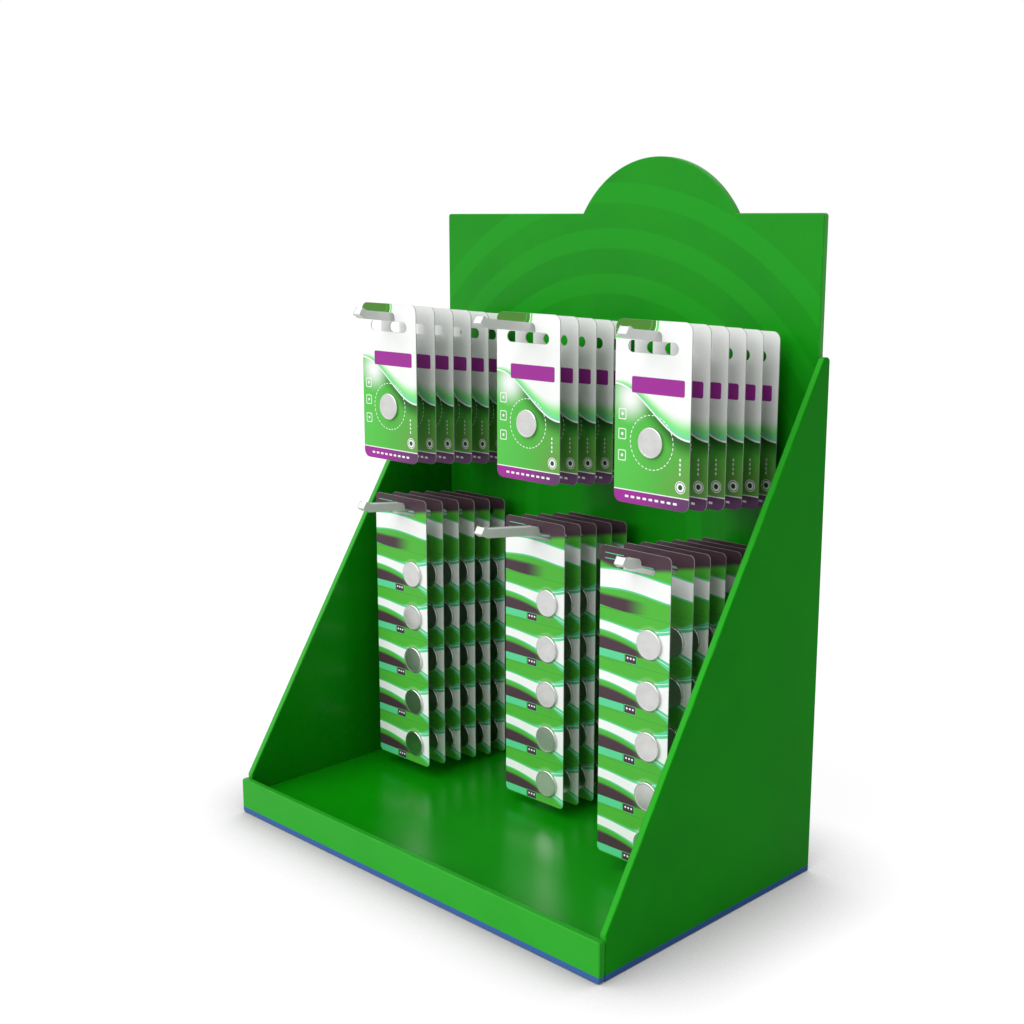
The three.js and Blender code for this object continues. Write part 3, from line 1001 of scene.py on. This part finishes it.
swing = calc(tree, "COSINE", calc(tree, "MULTIPLY", share, 3.4))
off_line = calc(tree, "SUBTRACT", in_cell, calc(tree, "MULTIPLY_ADD", swing, 2.6, 20.0))
off_line = calc(tree, "ABSOLUTE", off_line)
flare = calc(tree, "POWER", share, 3.0)
white_half = calc(tree, "MULTIPLY_ADD", flare, 6.5, 3.0)
mint_half = calc(tree, "ADD", white_half, calc(tree, "MULTIPLY_ADD", flare, 4.5, 1.5))
past_mint = calc(tree, "SUBTRACT", off_line, mint_half)
past_white = calc(tree, "SUBTRACT", off_line, white_half)
colour = mix(tree, flip(tree, rise(tree, past_mint, -1.2, 0.1)), colour, STRIP_MINT)
colour = mix(tree, flip(tree, rise(tree, past_white, -0.1, 0.1)), colour, WHITE)
thin = calc(tree, "ABSOLUTE", calc(tree, "SUBTRACT", past_white, 2.2))
thin_line = times(tree, flip(tree, rise(tree, thin, 0.12, 0.28)), rise(tree, share, 0.5, 0.7))
colour = mix(tree, thin_line, colour, WHITE)

bar_mask = block(tree, cell_point, (-20.0, BAR_HEIGHT), (12.0, 2.6), 0.4)
colour = mix(tree, bar_mask, colour, STRIP_MINT)
for tag_half, tag_corner, tint in TAG_LAYERS:
    tag = block(tree, cell_point, (TAG_ACROSS, BAR_HEIGHT), tag_half, tag_corner)
    colour = mix(tree, tag, colour, tint)
for offset in (-5.0, -2.4, 0.2):
    colour = mix(tree, disc(tree, cell_point, (offset, 4.4), 0.75), colour, WHITE)
cell_place = ((strip["coin_across"] - 0.5) * strip["width"], strip["low_coin"] - CELL_FOOT)
halo = disc(tree, cell_point, cell_place, 12.2, 0.6)
colour = mix(tree, times(tree, halo, 0.08), colour, WHITE)
stitch = calc(tree, "GREATER_THAN", calc(tree, "SINE", calc(tree, "MULTIPLY", across, 2.6)), -0.2)
tear_top = rise(tree, in_cell, strip["pitch"] - 0.2, strip["pitch"])
tear = calc(tree, "ADD", flip(tree, rise(tree, in_cell, 0.2, 0.4)), tear_top)
colour = mix(tree, times(tree, tear, stitch, 0.75), colour, TEAR)
print("strip cell nodes:", len(tree.nodes))

# %% [markdown]
# ## Head of the five-cell strip
# The head is dark plum at the top with two short mint lines, and then has one wider white
# wave with mint edges over green.

# %% Head of the five-cell strip
HEAD_HEIGHT = 40.6
HEAD_LINES = ((209.2, 8.0), (205.6, 5.0))
HEAD_LINES_LEFT = -25.5

down = calc(tree, "SUBTRACT", strip["height"], up)
wave = calc(tree, "SINE", calc(tree, "MULTIPLY", share, 4.2))
head_edge = calc(tree, "MULTIPLY_ADD", wave, 1.2, HEAD_HEIGHT)
head = flip(tree, rise(tree, down, head_edge, calc(tree, "ADD", head_edge, 0.2)))
plum_start = calc(tree, "MULTIPLY_ADD", wave, 3.0, 9.5)
plum_end = calc(tree, "MULTIPLY_ADD", wave, 3.0, 13.5)
head_ink = mix(tree, rise(tree, down, plum_start, plum_end), PLUM, STRIP_GREEN)
off_white = calc(tree, "SUBTRACT", down, calc(tree, "MULTIPLY_ADD", wave, -1.6, 22.6))
off_white = calc(tree, "ABSOLUTE", off_white)
head_ink = mix(tree, flip(tree, rise(tree, off_white, 6.8, 7.4)), head_ink, STRIP_MINT)
head_ink = mix(tree, flip(tree, rise(tree, off_white, 5.9, 6.1)), head_ink, WHITE)
plum_foot = times(tree, rise(tree, down, 31.5, 34.5), flip(tree, rise(tree, share, 0.35, 0.75)))
head_ink = mix(tree, plum_foot, head_ink, PLUM)
for height, width in HEAD_LINES:
    line = block(tree, flat, (HEAD_LINES_LEFT + width, height), (width, 0.25), 0.2)
    head_ink = mix(tree, line, head_ink, STRIP_MINT)
colour = mix(tree, head, colour, head_ink)
print_end(tree, shader, point, colour, on_front)
print("strip print nodes:", len(tree.nodes))

# %% [markdown]
# ## Coin cells
# A coin cell is a crimped steel can. Its face is a flat satin disc inside a fine rolled
# rim, and it mirrors what stands before it. The profile below lists radius and height,
# and is turned around the cell's axis.

# %% Coin cells
COIN_SIDES = 56
COIN_PROFILE = [
    (10.0, 0.0), (10.0, 0.12), (10.0, 1.2), (10.0, 1.45), (9.94, 1.68), (9.80, 1.86),
    (9.60, 1.96), (9.38, 2.0), (9.10, 2.0), (8.98, 1.985), (8.86, 1.95), (8.76, 1.94),
    (8.50, 1.94), (4.0, 1.94)]
STEEL = (0.66, 0.66, 0.65, 1)
STEEL_DEEP = (0.60, 0.60, 0.59, 1)

steel_finish, tree, shader, point, normal = surface_start("coin_steel")
brushed = noise(tree, move(tree, "MULTIPLY", point, (0.4, 1.0, 3.0)), 2.6, 3.0)
patches = noise(tree, point, 0.12, 2.0)
colour = mix(tree, rise(tree, patches, 0.3, 0.7), STEEL_DEEP, STEEL)
roughness = calc(tree, "MULTIPLY_ADD", brushed, 0.10, 0.20)
surface_end(tree, shader, colour, roughness, brushed, 0.00001, 0.3, Metallic=1.0)


def coin_data(centre_x, height):
    points, faces, normals = [], [], []
    rings = len(COIN_PROFILE)
    for index, (radius, depth) in enumerate(COIN_PROFILE):
        before = COIN_PROFILE[max(index - 1, 0)]
        after = COIN_PROFILE[min(index + 1, rings - 1)]
        run, climb = after[0] - before[0], after[1] - before[1]
        size = math.hypot(run, climb)
        for side in range(COIN_SIDES):
            angle = 2 * math.pi * side / COIN_SIDES
            spoke = Vector((math.cos(angle), 0, math.sin(angle)))
            centre = Vector((centre_x, -CARD_THICKNESS - depth, height))
            points.append((centre + spoke * radius) * MM)
            normals.append(spoke * (climb / size) + Vector((0, run / size, 0)))
    for ring_index in range(rings - 1):
        for side in range(COIN_SIDES):
            after = (side + 1) % COIN_SIDES
            low, high = ring_index * COIN_SIDES, (ring_index + 1) * COIN_SIDES
            faces.append((low + side, low + after, high + after, high + side))
    faces.append(tuple((rings - 1) * COIN_SIDES + side for side in range(COIN_SIDES)))
    return points, faces, normals


def coins_mesh(name, card):
    centre_x = (card["coin_across"] - 0.5) * card["width"]
    heights = [card["low_coin"] + index * card["pitch"] for index in range(card["coins"])]
    return mesh_from(name, [coin_data(centre_x, height) for height in heights], steel_finish)


print("coin profile points:", len(COIN_PROFILE))

# %% [markdown]
# ## Hanging stock
# Each card takes the place of its solid on the hook, rear face to rear face and low
# edge to low edge. Cards of one type share one mesh, as in print.

# %% Hanging stock
sheets = {
    "card": card_mesh("single_card", CARDS["card"], card_finish),
    "strip": card_mesh("five_cell_strip", CARDS["strip"], strip_finish),
}
cells = {name: coins_mesh(f"{name}_cells", card) for name, card in CARDS.items()}
hung = 0
for node in sorted(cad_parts):
    kind = node.split("_")[0]
    if kind not in CARDS:
        continue
    low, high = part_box(node)
    place = Vector(((low.x + high.x) / 2, high.y, low.z))
    stand(node.replace(kind, f"{kind}_sheet"), sheets[kind], node, place)
    stand(node.replace(kind, f"{kind}_cells"), cells[kind], place=place)
    hung += 1
print("cards hung:", hung)
